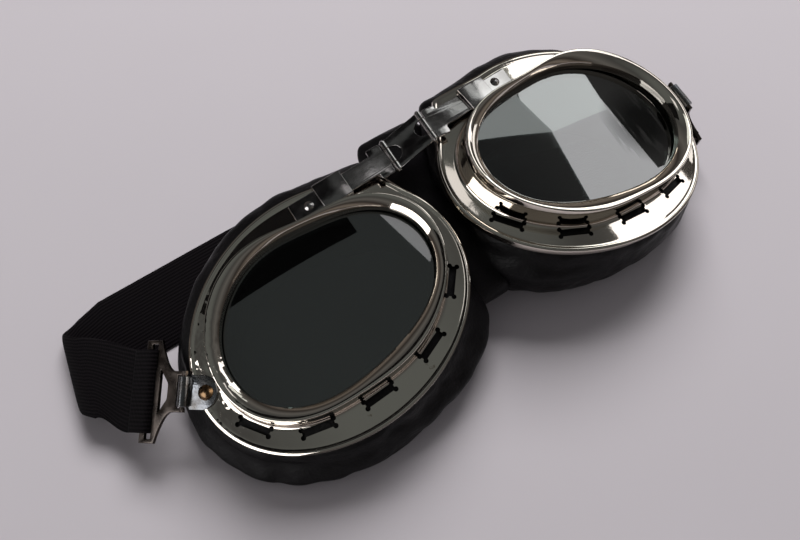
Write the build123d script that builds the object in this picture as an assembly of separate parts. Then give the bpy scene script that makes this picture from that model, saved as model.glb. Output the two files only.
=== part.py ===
from build123d import *
import os
from math import atan2, cos, degrees, hypot, pi, sin

# Aviator goggles lying face down on a table: two chromed eyepieces on padded cups,
# joined over the nose by a two-pin hinge, with an elastic strap on two stamped buckles.
# X runs to the right-hand eyepiece, Y to the brow, Z up. An eyepiece is drawn as the
# right-hand one in its own axes: x out to the temple, y to the brow, z out of the lens.

# How the pair lies on the table
lay_pitch = 9.9
lay_splay = 5.75
lay_height = 30.0
eye_shift = 45.85
eye_lead = 3.03
eye_rise = 2.21

# Chromed frame of one eye
frame_half_length = 45.3
frame_half_height = 36.1
frame_lean = 13.0
frame_shift = 0.8
frame_bend = 240.0
frame_sheet = 1.0
frame_lip_wall = 1.0
frame_lip_drop = 1.3
corner_u = 31.0
corner_v = 35.2
corner_brow = 36.2
corner_side_u = 38.3
corner_side_v = 21.0

# Lens opening, and the raised collar round it
opening_mean = 27.9
opening_wave_shares = ((0.027, 0.040), (0.190, -0.055), (-0.020, 0.004), (0.010, -0.020))
collar_mean = 28.1
collar_wave_shares = ((0.034, 0.016), (0.20, -0.045), (-0.018, 0.021), (-0.006, -0.033))
collar_bend = 500.0
collar_crest = 8.7
collar_ledge_top = 4.6
collar_ledge = 0.8
collar_foot_offset = 4.1
collar_crest_offset = 3.9
collar_mouth_offset = 2.7
seat_offset = 1.6
outline_steps = 36

# Vent slots through the flange
slot_length = 12.5
slot_width = 2.2
slot_lobe = 1.5
slot_offset = 5.95
slot_turns = (198.0, 233.0, 274.0, 308.0, 335.0)

# Lens and its rubber seal
lens_thick = 2.0
lens_play = 0.1
seal_lap = 0.6
seal_rise = 0.4

# Hinge plates over the nose
plate_thick = 0.8
plate_seat = 0.4
plate_shank = 6.4
plate_head_wide = 10.5
plate_head_long = 4.6
plate_tail_u = 4.6
plate_tail_v = 30.6
plate_rivet_u = 10.1
plate_rivet_v = 30.5
pad_wide = 8.4
pad_tail = 3.4
hinge_u = 39.5
hinge_left_v = 31.4
hinge_right_v = 26.8
hinge_pin_radius = 0.6
hinge_knuckle_radius = 1.1
hinge_knuckle_wide = 5.0
hinge_pin_overhang = 0.5
hinge_play = 0.05
hinge_side_play = 0.15
link_notch = 2.4
link_turn_room = 0.25

# Guide loop that holds each hinge plate down
loop_u = 18.6
loop_v = 30.6
loop_long = 9.6
loop_wide = 8.8
loop_high = 2.1
loop_play = 0.1

# Rivets
rivet_shank = 1.1
rivet_head = 2.2
rivet_dome = 1.1
small_rivet_shank = 0.8
small_rivet_head = 1.5
small_rivet_dome = 0.7

# Clip that swivels on the temple end of each frame
clip_u = 42.6
clip_v = -1.0
clip_wide = 9.8
clip_thick = 0.8
clip_play = 0.1
clip_bore_play = 0.06
clip_nose = 3.4
clip_cheek = 2.4
clip_reach = 6.3
clip_neck = 4.7
clip_roll_wide = 8.6
clip_roll_bore = 0.85
clip_left_turn = 35.0
clip_right_turn = 0.0

# Stamped strap buckle
buckle_thick = 1.2
buckle_pin_radius = 0.75
buckle_arm_gap = 9.2
buckle_narrow = 11.6
buckle_wide = 29.4
buckle_roll_room = 0.35
buckle_shoulder = 4.4
buckle_flare = 9.0
buckle_bar = 13.4
buckle_bar_wide = 2.0
buckle_slot = 2.2
buckle_slot_long = 27.0
buckle_window_near = 5.4
buckle_window_far = 8.4
buckle_window_near_wide = 4.4
buckle_window_far_wide = 12.5
buckle_left_drop = 18.0
buckle_right_drop = 60.0

# Elastic strap
strap_wide = 28.0
strap_thick = 1.6
strap_gathered = 26.2
strap_wrap_play = 0.1
strap_tail = 18.4
strap_channel_play = 0.3
strap_curl = 4.0
strap_curl_x = -116.4
strap_curl_y = 29.0
strap_curl_shift = 8.0
strap_curl_yaw = 10.0
strap_curl_steps = 6
strap_bend_steps = 6
strap_run_start_x = -104.0
strap_run_start_y = 39.3
strap_sway_start_x = -55.0
strap_sway_start_y = 41.0
strap_run_end_x = 92.0
strap_run_end_y = 1.5
strap_middle_half = 16.0
strap_step = 9.0

# Padded cup behind each frame
cup_neck_inset = 1.5
cup_lip_room = 0.6
cup_shoulder = 8.0
cup_belly = 17.0
cup_foot = 29.0
cup_foot_offset = 1.5
cup_belly_offset = 4.0
cup_shoulder_share = 0.75
cup_chin_extra = 1.6
cup_nose_inset = 2.2
cup_nose_lean_share = 0.12
cup_nose_turn_share = 0.1
cup_hollow_inset = 1.0
cup_depth = 46.0
cup_level_shares = (0.04, -0.035, -0.07, -0.11, -0.165, -0.24, -0.35, -0.48, -0.63, -0.82, -1.0)
foam_wide = 4.6
foam_high = 11.0

# Soft bridge between the cups
bridge_half_wide = 10.0
bridge_half_thick = 4.6
bridge_drop = 10.0
bridge_chin = 27.0
bridge_brow = 45.5
bridge_shares = ((-1.0, 0.35, 0.4), (-0.6, 0.85, 0.9), (0.0, 1.0, 1.0), (0.55, 1.0, 1.0),
                 (0.88, 0.75, 0.9), (1.0, 0.3, 0.4))

cut_over = 60.0


def closed_face(points):
    return make_face(Spline(*points, periodic=True))


# Shapes shared by the pieces of one eyepiece; hand is 1 for the right eye, -1 for the left

def wavy_radius(mean, wave_shares, angle):
    swing = 1
    for turns, (cos_share, sin_share) in enumerate(wave_shares, start=1):
        swing += cos_share * cos(turns * angle) + sin_share * sin(turns * angle)
    return mean * swing


def opening_radius(angle):
    return wavy_radius(opening_mean, opening_wave_shares, angle)


def collar_radius(angle):
    return wavy_radius(collar_mean, collar_wave_shares, angle)


def step_angles():
    return [2 * pi * step / outline_steps for step in range(outline_steps)]


def ring_outline(hand, radius_at, offset, level):
    points = []
    for angle in step_angles():
        radius = radius_at(angle) + offset
        points.append((hand * radius * cos(angle), radius * sin(angle), level))
    return closed_face(points)


def opening_prism(hand, offset):
    face = ring_outline(hand, opening_radius, offset, -cut_over)
    return extrude(face, 2 * cut_over, dir=(0, 0, 1))


def under_bend(radius, top):
    return Location((0, 0, top - radius), (90, 0, 0)) * Cylinder(radius, 2 * cut_over)


def bend_drop(u):
    return frame_bend - (frame_bend ** 2 - u ** 2) ** 0.5


# Chromed frame

def frame_outline(hand, inset):
    place = Location((hand * frame_shift, 0, 0), (0, 0, -hand * frame_lean))
    oval = place * Ellipse(frame_half_length - inset, frame_half_height - inset)
    corner = Polyline(
        (hand * (inset - corner_u), corner_v - inset),
        (0, corner_brow - inset),
        (0, 0),
        (hand * (inset - corner_side_u), corner_side_v),
        close=True,
    )
    return oval + make_face(corner)


def frame_prism(hand, inset):
    return Location((0, 0, -cut_over)) * extrude(frame_outline(hand, inset), 2 * cut_over)


def flange(hand):
    sheet = frame_prism(hand, 0) & under_bend(frame_bend, 0)
    sheet -= under_bend(frame_bend - frame_sheet, -frame_sheet)
    lip = frame_prism(hand, 0) - frame_prism(hand, frame_lip_wall)
    lip &= under_bend(frame_bend, 0)
    lip -= under_bend(frame_bend - frame_sheet - frame_lip_drop, -frame_sheet - frame_lip_drop)
    return sheet + lip


def collar_body(hand):
    foot = ring_outline(hand, collar_radius, collar_foot_offset, -collar_crest)
    rim = ring_outline(hand, collar_radius, collar_crest_offset, collar_crest + frame_sheet)
    body = loft([foot, rim], ruled=True)
    body &= under_bend(collar_bend, collar_crest)
    return body - under_bend(frame_bend - frame_sheet, -frame_sheet)


def collar_mouth(hand):
    throat = ring_outline(hand, opening_radius, 0, collar_ledge_top)
    mouth = ring_outline(hand, collar_radius, collar_mouth_offset, collar_crest + frame_sheet)
    return loft([throat, mouth], ruled=True)


def lens_pocket(hand):
    top = collar_ledge_top - collar_ledge
    return opening_prism(hand, seat_offset) & under_bend(collar_bend, top)


def slot_cutter(hand, turn):
    angle = turn * pi / 180
    radius = collar_radius(angle) + slot_offset
    step = pi / outline_steps
    ahead = collar_radius(angle + step)
    behind = collar_radius(angle - step)
    run_u = ahead * cos(angle + step) - behind * cos(angle - step)
    run_v = ahead * sin(angle + step) - behind * sin(angle - step)
    lean = degrees(atan2(run_v, hand * run_u))
    shape = Rectangle(slot_length - 2 * slot_lobe, slot_width)
    for end in (-1, 1):
        for side in (-1, 1):
            center = ((slot_length / 2 - slot_lobe) * end, (slot_width / 2) * side)
            shape += Location(center) * Circle(slot_lobe / 2)
    place = Location((hand * radius * cos(angle), radius * sin(angle), -cut_over), (0, 0, lean))
    return place * extrude(shape, 2 * cut_over)


def plate_pad(hand):
    edge = corner_u - (corner_side_u - corner_u) * frame_lip_wall / corner_side_v
    block = Box(edge - pad_tail, pad_wide, cut_over, align=(Align.CENTER, Align.CENTER, Align.MAX))
    pad = Location((-hand * (edge + pad_tail) / 2, plate_rivet_v, plate_seat)) * block
    return (pad & frame_prism(hand, 0)) - under_bend(frame_bend - frame_sheet, -frame_sheet)


def clip_rivet_place(hand):
    lean = degrees(atan2(clip_u, frame_bend))
    return Location((hand * clip_u, clip_v, -bend_drop(clip_u)), (0, hand * lean, 0))


def plate_rivet_place(hand):
    return Location((-hand * plate_rivet_u, plate_rivet_v))


def frame(hand):
    body = flange(hand) + collar_body(hand) + plate_pad(hand)
    body -= collar_mouth(hand)
    body -= opening_prism(hand, 0)
    body -= lens_pocket(hand)
    for turn in slot_turns:
        body -= slot_cutter(hand, turn)
    body -= clip_rivet_place(hand) * Cylinder(rivet_shank, cut_over)
    return body - plate_rivet_place(hand) * Cylinder(small_rivet_shank, cut_over)


# Lens and seal

def lens(hand):
    top = collar_ledge_top - collar_ledge
    glass = opening_prism(hand, seat_offset - lens_play) & under_bend(collar_bend, top)
    return glass - under_bend(collar_bend - lens_thick, top - lens_thick)


def lens_seal(hand):
    top = collar_ledge_top - collar_ledge - lens_thick
    ring = opening_prism(hand, seat_offset - lens_play) - opening_prism(hand, -seal_lap)
    ring &= under_bend(collar_bend - lens_thick, top)
    return ring - under_bend(frame_bend, seal_rise - frame_sheet)


# Rivets

def rivet(shank, head, dome, under, seat):
    post = Cylinder(shank, under + seat, align=(Align.CENTER, Align.CENTER, Align.MIN))
    ball = (head ** 2 + dome ** 2) / (2 * dome)
    cap = Location((0, 0, seat + dome - ball)) * Sphere(ball)
    reach = Cylinder(head, dome, align=(Align.CENTER, Align.CENTER, Align.MIN))
    return Location((0, 0, -under)) * post + (cap & Location((0, 0, seat)) * reach)


def clip_rivet(hand):
    seat = clip_play + clip_thick + clip_play
    return clip_rivet_place(hand) * rivet(rivet_shank, rivet_head, rivet_dome, frame_sheet, seat)


def plate_rivet(hand):
    seat = plate_seat + plate_thick
    stud = rivet(small_rivet_shank, small_rivet_head, small_rivet_dome, frame_sheet - plate_seat, seat)
    return plate_rivet_place(hand) * stud


# Hinge plates, their guide loops and pins

def hinge_level():
    return plate_seat + plate_thick / 2


def barrel(hand, radius, wide, v):
    return Location((-hand * hinge_u, v, hinge_level()), (90, 0, 0)) * Cylinder(radius, wide)


def head_u():
    return hinge_u - hinge_knuckle_radius - link_turn_room


def plate_face(hand, head_v, spare):
    half = plate_shank / 2 + spare
    shank = Polyline(
        (-hand * plate_tail_u, plate_tail_v - half),
        (-hand * plate_tail_u, plate_tail_v + half),
        (-hand * head_u(), head_v + half),
        (-hand * head_u(), head_v - half),
        close=True,
    )
    return make_face(shank)


def hinge_plate(hand, head_v):
    head = Rectangle(plate_head_long, plate_head_wide)
    middle = head_u() - plate_head_long / 2
    shape = plate_face(hand, head_v, 0) + Location((-hand * middle, head_v)) * head
    body = Location((0, 0, plate_seat)) * extrude(shape, plate_thick)
    web = Box(hinge_u - head_u(), hinge_knuckle_wide, plate_thick)
    body += Location((-hand * (hinge_u + head_u()) / 2, head_v, hinge_level())) * web
    body += barrel(hand, hinge_knuckle_radius, hinge_knuckle_wide, head_v)
    body -= barrel(hand, hinge_pin_radius, plate_head_wide, head_v)
    return body - plate_rivet_place(hand) * Cylinder(small_rivet_shank, cut_over)


def hinge_pin(hand, head_v):
    return barrel(hand, hinge_pin_radius, plate_head_wide + 2 * hinge_pin_overhang, head_v)


def guide_loop(hand, head_v):
    lean = degrees(atan2(head_v - plate_tail_v, -hand * (head_u() - plate_tail_u)))
    share = (loop_u - plate_tail_u) / (head_u() - plate_tail_u)
    v = plate_tail_v + (head_v - plate_tail_v) * share
    band = Box(loop_long, loop_wide, loop_high, align=(Align.CENTER, Align.CENTER, Align.MIN))
    band = Location((-hand * loop_u, v, plate_seat), (0, 0, lean)) * band
    room = extrude(plate_face(hand, head_v, loop_play), plate_thick + loop_play)
    return band - Location((0, 0, plate_seat)) * room - collar_body(hand)


# Swivel clip, drawn pointing along x from its rivet

def clip_outline():
    half = clip_wide / 2
    points = (
        (-clip_nose, clip_nose - clip_cheek),
        (-clip_cheek, clip_cheek),
        (0, half),
        (clip_neck, half),
        (clip_neck, clip_roll_wide / 2),
        (clip_reach, clip_roll_wide / 2),
    )
    lower = [(u, -v) for u, v in reversed(points)]
    return make_face(Polyline(*points, *lower, close=True))


def clip():
    roll = clip_roll_bore + clip_thick
    strip = Location((0, 0, clip_play)) * extrude(clip_outline(), clip_thick)
    axis = Location((clip_reach, 0, clip_play + roll), (90, 0, 0))
    body = strip + axis * Cylinder(roll, clip_roll_wide)
    body -= axis * Cylinder(clip_roll_bore, clip_wide)
    return body - Cylinder(rivet_shank + clip_bore_play, cut_over)


def clip_place(hand, turn):
    facing = turn if hand > 0 else 180 - turn
    return clip_rivet_place(hand) * Location((0, 0, 0), (0, 0, facing))


# Stamped buckle and the strap sewn round its bar, drawn along x from the pin

def buckle_place(hand, turn, drop):
    roll = clip_roll_bore + clip_thick
    return clip_place(hand, turn) * Location((clip_reach, 0, clip_play + roll), (0, drop, 0))


def buckle_outline():
    points = (
        (-buckle_pin_radius, buckle_narrow / 2),
        (buckle_shoulder, buckle_narrow / 2),
        (buckle_flare, buckle_wide / 2),
        (buckle_bar + buckle_bar_wide / 2, buckle_wide / 2),
    )
    lower = [(u, -v) for u, v in reversed(points)]
    return make_face(Polyline(*points, *lower, close=True))


def buckle():
    roll = clip_roll_bore + clip_thick + buckle_roll_room
    plate = buckle_outline()
    plate -= Rectangle(2 * roll, buckle_arm_gap)
    slot = Rectangle(buckle_slot, buckle_slot_long, align=(Align.MAX, Align.CENTER))
    plate -= Location((buckle_bar - buckle_bar_wide / 2, 0)) * slot
    window = Polyline(
        (buckle_window_near, buckle_window_near_wide / 2),
        (buckle_window_far, buckle_window_far_wide / 2),
        (buckle_window_far, -buckle_window_far_wide / 2),
        (buckle_window_near, -buckle_window_near_wide / 2),
        close=True,
    )
    plate -= make_face(window)
    body = Location((0, 0, -buckle_thick / 2)) * extrude(plate, buckle_thick)
    return body + Rotation(90, 0, 0) * Cylinder(buckle_pin_radius, buckle_narrow)


def strap_loop():
    inner_long = buckle_bar_wide + 2 * strap_wrap_play
    inner_high = buckle_thick + 2 * strap_wrap_play
    outer = Box(inner_long + 2 * strap_thick, strap_gathered, inner_high + 2 * strap_thick)
    wrap = Location((buckle_bar, 0)) * fillet(outer.edges().filter_by(Axis.Y), strap_thick)
    start = buckle_bar + inner_long / 2
    tail = Box(strap_tail - start, strap_gathered, 2 * strap_thick,
               align=(Align.MIN, Align.CENTER, Align.CENTER))
    wrap += Location((start, 0)) * tail
    return wrap - Location((buckle_bar, 0)) * Box(inner_long, strap_wide, inner_high)


# Padded cup

def oval_radius(angle):
    turn = angle + frame_lean * pi / 180
    across = hypot(frame_half_height * cos(turn), frame_half_length * sin(turn))
    return frame_half_length * frame_half_height / across


def cup_bulge(angle, depth):
    nose_share = max(0, -cos(angle - cup_nose_turn_share)) ** 3
    chin_share = max(0, -sin(angle)) ** 2
    nose = cup_nose_inset + cup_nose_lean_share * max(0, depth)
    belly = (cup_belly_offset + cup_chin_extra * chin_share) * (1 - nose_share) - nose * nose_share
    foot = cup_foot_offset * (1 - nose_share) - nose * nose_share
    lip = frame_sheet + frame_lip_drop + cup_lip_room
    if depth < lip:
        return -cup_neck_inset
    if depth < cup_shoulder:
        share = (depth - lip) / (cup_shoulder - lip)
        return -cup_neck_inset + (belly * cup_shoulder_share + cup_neck_inset) * sin(share * pi / 2)
    if depth < cup_belly:
        share = (depth - cup_shoulder) / (cup_belly - cup_shoulder)
        return belly * (cup_shoulder_share + (1 - cup_shoulder_share) * sin(share * pi / 2))
    share = min(1, (depth - cup_belly) / (cup_foot - cup_belly))
    return belly + (foot - belly) * (1 - cos(share * pi / 2))


def cup_outline(hand, level):
    points = []
    for angle in step_angles():
        radius = oval_radius(angle)
        radius += cup_bulge(angle, -level - bend_drop(radius * cos(angle)))
        points.append((hand * (frame_shift + radius * cos(angle)), radius * sin(angle), level))
    return closed_face(points)


def cup(hand):
    body = loft([cup_outline(hand, cup_depth * share) for share in cup_level_shares])
    body &= under_bend(frame_bend - frame_sheet, -frame_sheet)
    return body - opening_prism(hand, -cup_hollow_inset)


def face_foam(hand):
    return opening_prism(hand, foam_wide - cup_hollow_inset) - opening_prism(hand, -cup_hollow_inset)


# Placing the two eyepieces

def eye_place(hand):
    centre = (hand * eye_shift, hand * eye_lead, hand * eye_rise)
    return goggles_place * Location(centre, (0, hand * lay_splay, 0))


goggles_place = Location((0, 0, lay_height), (lay_pitch, 0, 0))


def spot(hand, place, point):
    return (eye_place(hand) * place * Location(point)).position


def above_table(height):
    return Box(6 * cut_over, 6 * cut_over, height, align=(Align.CENTER, Align.CENTER, Align.MIN))


# Link between the two hinge pins

def link_tabs(x, y):
    solid = Location((x, y, 0), (90, 0, 0)) * Cylinder(hinge_knuckle_radius, plate_head_wide)
    room = Box(4 * hinge_knuckle_radius, hinge_knuckle_wide + 2 * hinge_side_play,
               4 * hinge_knuckle_radius)
    return solid - Location((x, y, 0)) * room


def link_notches(x, y):
    deep = 2 * (hinge_knuckle_radius + link_turn_room)
    wide = hinge_knuckle_wide + 2 * hinge_side_play
    return Location((x, y)) * (Rectangle(deep, wide) + Circle(link_notch))


def bridge_link():
    turn = lay_splay * pi / 180
    pin_x = eye_shift - hinge_u * cos(turn) + hinge_level() * sin(turn)
    pin_z = hinge_u * sin(turn) + hinge_level() * cos(turn)
    left_y = hinge_left_v - eye_lead
    right_y = hinge_right_v + eye_lead
    span = hypot(2 * pin_x, 2 * eye_rise)
    half = plate_head_wide / 2
    plate = make_face(Polyline(
        (0, left_y - half), (0, left_y + half), (span, right_y + half), (span, right_y - half),
        close=True,
    ))
    plate -= link_notches(0, left_y) + link_notches(span, right_y)
    body = Location((0, 0, -plate_thick / 2)) * extrude(plate, plate_thick)
    for x, y in ((0, left_y), (span, right_y)):
        body += link_tabs(x, y)
        bore = Cylinder(hinge_pin_radius + hinge_play, 2 * plate_head_wide)
        body -= Location((x, y, 0), (90, 0, 0)) * bore
    lean = degrees(atan2(2 * eye_rise, 2 * pin_x))
    return goggles_place * Location((-pin_x, 0, pin_z - eye_rise), (0, -lean, 0)) * body


# Elastic strap from buckle to buckle

def ribbon(stations, extra=0, high=strap_thick):
    sections = []
    for centre, along, across, wide in stations:
        side = across.normalized()
        plane = Plane(origin=centre, x_dir=side, z_dir=along - side * along.dot(side))
        sections.append(plane * Rectangle(wide + 2 * extra, high))
    return loft(sections, ruled=True)


def bend(start, along, end, heading, across, turned, wide, far_wide):
    pull = (end - start).length
    stations = []
    for step in range(strap_bend_steps + 1):
        t = step / strap_bend_steps
        place = start * (2 * t ** 3 - 3 * t ** 2 + 1) + along * (pull * (t ** 3 - 2 * t ** 2 + t))
        place = place + end * (3 * t ** 2 - 2 * t ** 3) + heading * (pull * (t ** 3 - t ** 2))
        slope = (end - start) * (6 * (t - t ** 2)) + along * (pull * (3 * t ** 2 - 4 * t + 1))
        slope = slope + heading * (pull * (3 * t ** 2 - 2 * t))
        level = (1 - t) ** 3
        side = across * level + turned * (1 - level)
        stations.append((place, slope, side, wide + (far_wide - wide) * t))
    return stations


def run_y(x):
    if x < strap_sway_start_x:
        share = (x - strap_run_start_x) / (strap_sway_start_x - strap_run_start_x)
        return strap_run_start_y + (strap_sway_start_y - strap_run_start_y) * share
    share = (x - strap_sway_start_x) / (strap_run_end_x - strap_sway_start_x)
    return strap_run_end_y + (strap_sway_start_y - strap_run_end_y) * (1 + cos(pi * share)) / 2


def run_station(x, level):
    step = strap_step / 2
    rise = run_y(x + step) - run_y(x - step)
    if x <= strap_run_start_x or x >= strap_run_end_x:
        rise = 0
    return (Vector(x, run_y(x), level), Vector(strap_step, rise, 0),
            Vector(-rise, strap_step, 0), strap_wide)


def run(start, end, level=strap_thick / 2, extra=0, high=strap_thick):
    count = max(2, round((end - start) / strap_step))
    stations = [run_station(start + (end - start) * step / count, level) for step in range(count + 1)]
    return ribbon(stations, extra, high)


def strap_end(hand, turn, drop):
    place = buckle_place(hand, turn, drop)
    tail = spot(hand, place, (strap_tail, 0, 0))
    along = (tail - spot(hand, place, (0, 0, 0))).normalized()
    across = (spot(hand, place, (strap_tail, strap_tail, 0)) - tail).normalized()
    return tail, along, across


def left_curl():
    """The half turn that rests on the table, from its top to its foot."""
    yaw = strap_curl_yaw * pi / 180
    heading = Vector(-cos(yaw), sin(yaw), 0)
    fold = Vector(sin(yaw), cos(yaw), 0)
    base = Vector(strap_curl_x, strap_curl_y, strap_thick / 2 + strap_curl)
    stations = []
    for step in range(strap_curl_steps + 1):
        share = step / strap_curl_steps
        out = strap_curl * sin(pi * share)
        place = base + heading * out + fold * (strap_curl_shift * share)
        place = place + Vector(0, 0, strap_curl * cos(pi * share))
        slope = heading * cos(pi * share) - Vector(0, 0, sin(pi * share))
        stations.append((place, slope, fold, strap_wide))
    return stations


def left_front():
    tail, along, across = strap_end(-1, clip_left_turn, buckle_left_drop)
    top, heading, fold, wide = left_curl()[0]
    return ribbon(bend(tail, along, top, heading, across * -1, fold, strap_gathered, wide))


def left_lower():
    return ribbon([left_curl()[-1], run_station(strap_run_start_x, strap_thick / 2)])


def right_front():
    tail, along, across = strap_end(1, clip_right_turn, buckle_right_drop)
    end, heading, turned, wide = run_station(strap_run_end_x, strap_thick / 2)
    bends = bend(tail, along, end, Vector(-1, 0, 0), across, turned, strap_gathered, strap_wide)
    return ribbon(bends)


def strap_channel():
    high = 2 * (strap_thick + strap_channel_play)
    return run(strap_run_start_x, strap_run_end_x + strap_step, 0, strap_channel_play, high)


# Soft bridge between the cups

def soft_bridge():
    sections = []
    for reach_share, wide_share, thick_share in bridge_shares:
        reach = bridge_brow if reach_share > 0 else bridge_chin
        plane = Plane(origin=(0, reach * reach_share, -bridge_drop), x_dir=(1, 0, 0), z_dir=(0, 1, 0))
        oval = Ellipse(bridge_half_wide * wide_share, bridge_half_thick * thick_share)
        sections.append(plane * oval)
    return goggles_place * loft(sections)


# Every piece by name

def eyepiece(hand, head_v, turn, drop):
    clip_spot = clip_place(hand, turn)
    buckle_spot = buckle_place(hand, turn, drop)
    pieces = {
        "frame": frame(hand),
        "lens": lens(hand),
        "lens_seal": lens_seal(hand),
        "hinge_plate": hinge_plate(hand, head_v),
        "plate_rivet": plate_rivet(hand),
        "guide_loop": guide_loop(hand, head_v),
        "hinge_pin": hinge_pin(hand, head_v),
        "clip": clip_spot * clip(),
        "clip_rivet": clip_rivet(hand),
        "buckle": buckle_spot * buckle(),
        "strap_loop": buckle_spot * strap_loop(),
    }
    placed = {name: eye_place(hand) * shape for name, shape in pieces.items()}
    foam = (eye_place(hand) * face_foam(hand)) & above_table(foam_high)
    cushion = (eye_place(hand) * cup(hand)) & above_table(2 * cut_over)
    channel = strap_channel()
    placed["face_foam"] = foam - channel
    placed["cup"] = cushion - foam - channel
    return placed


def strap():
    return {
        "left_strap_front": left_front(),
        "left_strap_fold": ribbon(left_curl()),
        "left_strap_lower": left_lower(),
        "left_strap_run": run(strap_run_start_x, -strap_middle_half),
        "strap_middle": run(-strap_middle_half, strap_middle_half),
        "right_strap_run": run(strap_middle_half, strap_run_end_x),
        "right_strap_front": right_front(),
    }


eye_settings = (
    ("left", -1, hinge_left_v, clip_left_turn, buckle_left_drop),
    ("right", 1, hinge_right_v, clip_right_turn, buckle_right_drop),
)


def all_pieces():
    pieces = {}
    for side, hand, head_v, turn, drop in eye_settings:
        for name, shape in eyepiece(hand, head_v, turn, drop).items():
            pieces[side + "_" + name] = shape
    pieces["bridge_link"] = bridge_link()
    pieces.update(strap())
    saddle = soft_bridge() - pieces["left_cup"] - pieces["right_cup"]
    for side, hand in (("left", -1), ("right", 1)):
        half = Location((hand * cut_over, 0, 0)) * Box(2 * cut_over, 4 * cut_over, 4 * cut_over)
        pieces[side + "_soft_bridge"] = saddle & half
    return pieces


def print_joint(name, shift, place, axis):
    start = (shift * place).position
    end = (shift * place * Location(axis)).position
    print(name, [round(value, 4) for value in start], [round(value, 6) for value in end - start])


def print_joints(shift):
    for side, hand, head_v, turn, drop in eye_settings:
        eye = eye_place(hand)
        pin = Location((-hand * hinge_u, head_v, hinge_level()))
        print_joint(side + " hinge", shift, eye * pin, (0, 1, 0))
        print_joint(side + " clip", shift, eye * clip_rivet_place(hand), (0, 0, 1))
        print_joint(side + " buckle", shift, eye * buckle_place(hand, turn, drop), (0, 1, 0))
        print_joint(side + " eye", shift, eye, (0, 0, 1))


def write(pieces):
    os.makedirs("parts", exist_ok=True)
    boxes = [shape.bounding_box() for shape in pieces.values()]
    middle_x = (min(box.min.X for box in boxes) + max(box.max.X for box in boxes)) / 2
    middle_y = (min(box.min.Y for box in boxes) + max(box.max.Y for box in boxes)) / 2
    shift = Location((-middle_x, -middle_y, 0))
    print_joints(shift)
    for name, shape in pieces.items():
        moved = shift * shape
        export_step(moved, "parts/" + name + ".step")
        box = moved.bounding_box()
        print(name, len(moved.solids()), round(moved.volume, 1), box.min, box.max)


write(all_pieces())
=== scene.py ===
from math import atan2, cos, hypot, pi, radians, sin

import bmesh
import bpy
from mathutils import Matrix, Vector, noise


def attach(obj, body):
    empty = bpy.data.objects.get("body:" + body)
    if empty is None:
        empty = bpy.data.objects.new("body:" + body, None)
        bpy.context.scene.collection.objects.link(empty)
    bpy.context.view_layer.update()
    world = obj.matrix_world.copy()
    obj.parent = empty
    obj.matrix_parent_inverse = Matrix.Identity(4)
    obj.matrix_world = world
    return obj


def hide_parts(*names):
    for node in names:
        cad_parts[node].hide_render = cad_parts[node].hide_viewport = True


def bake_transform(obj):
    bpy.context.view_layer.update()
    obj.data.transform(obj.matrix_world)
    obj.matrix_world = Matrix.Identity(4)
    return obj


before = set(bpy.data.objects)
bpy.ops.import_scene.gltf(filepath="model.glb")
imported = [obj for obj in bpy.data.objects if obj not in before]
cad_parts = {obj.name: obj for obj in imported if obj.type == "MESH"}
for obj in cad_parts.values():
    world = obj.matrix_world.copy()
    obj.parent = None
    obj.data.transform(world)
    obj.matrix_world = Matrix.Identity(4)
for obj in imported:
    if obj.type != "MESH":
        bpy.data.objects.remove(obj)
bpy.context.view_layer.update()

scene = bpy.context.scene
mm = 0.001

# Camera
# The goggles are seen from above and a little to the near left, from about 27 cm away.


def new_object(name, data):
    made = bpy.data.objects.new(name, data)
    scene.collection.objects.link(made)
    return made


camera = new_object("camera", bpy.data.cameras.new("camera"))
camera.location = (-73.6 * mm, -104.3 * mm, 234.6 * mm)
camera.rotation_euler = (radians(28.7), 0, radians(-33.1))
camera.data.sensor_width = 36
camera.data.lens = 36
camera.data.clip_start = 10 * mm
scene.camera = camera
scene.view_settings.view_transform = "Standard"

# Table
# A pale painted table top, matt, with the faintest mottle. It carries no part of the goggles.

table_colour = (0.60, 0.565, 0.59)
table_dim = 0.985
table_mottle = 60 * mm
table_radius = 2.5
table_sides = 96


def socket(material, name):
    return material.node_tree.nodes["Principled BSDF"].inputs[name]


def new_finish(name, colour, metal, rough, **sockets):
    """A material of that colour, with those values on its shader's own sockets."""
    material = bpy.data.materials.new(name)
    material.use_nodes = True
    values = {"Base_Color": (*colour, 1), "Metallic": metal, "Roughness": rough, **sockets}
    for title, value in values.items():
        socket(material, title.replace("_", " ")).default_value = value
    return material


def coat(piece, finish):
    piece.data.materials.clear()
    piece.data.materials.append(finish)


def add_node(owner, kind, **sockets):
    """A shader node in that material, world or node tree, with those values on its sockets."""
    made = getattr(owner, "node_tree", owner).nodes.new("ShaderNode" + kind)
    for name, value in sockets.items():
        made.inputs[name.replace("_", " ")].default_value = value
    return made


def join(start, end):
    start.id_data.links.new(start, end)


def pattern(material, kind, size, **sockets):
    """A pattern of that grain size, laid out in the object's own axes."""
    made = add_node(material, "Tex" + kind, Scale=1 / size, **sockets)
    join(add_node(material, "TexCoord").outputs["Object"], made.inputs["Vector"])
    return made


def mottle(material, size, detail=3):
    return pattern(material, "Noise", size, Detail=detail).outputs["Fac"]


def remap(source, low, high, out_low, out_high):
    stretch = add_node(source.id_data, "MapRange", From_Min=low, From_Max=high,
                       To_Min=out_low, To_Max=out_high)
    join(source, stretch.inputs["Value"])
    return stretch.outputs["Result"]


def tint(material, source, low, high, dark, light):
    """Colours the finish from dark to light as the source goes from low to high."""
    ramp = add_node(material, "ValToRGB")
    for mark, position, tone in zip(ramp.color_ramp.elements, (low, high), (dark, light)):
        mark.position = position
        mark.color = (*tone, 1)
    join(source, ramp.inputs["Fac"])
    join(ramp.outputs["Color"], socket(material, "Base Color"))


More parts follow.
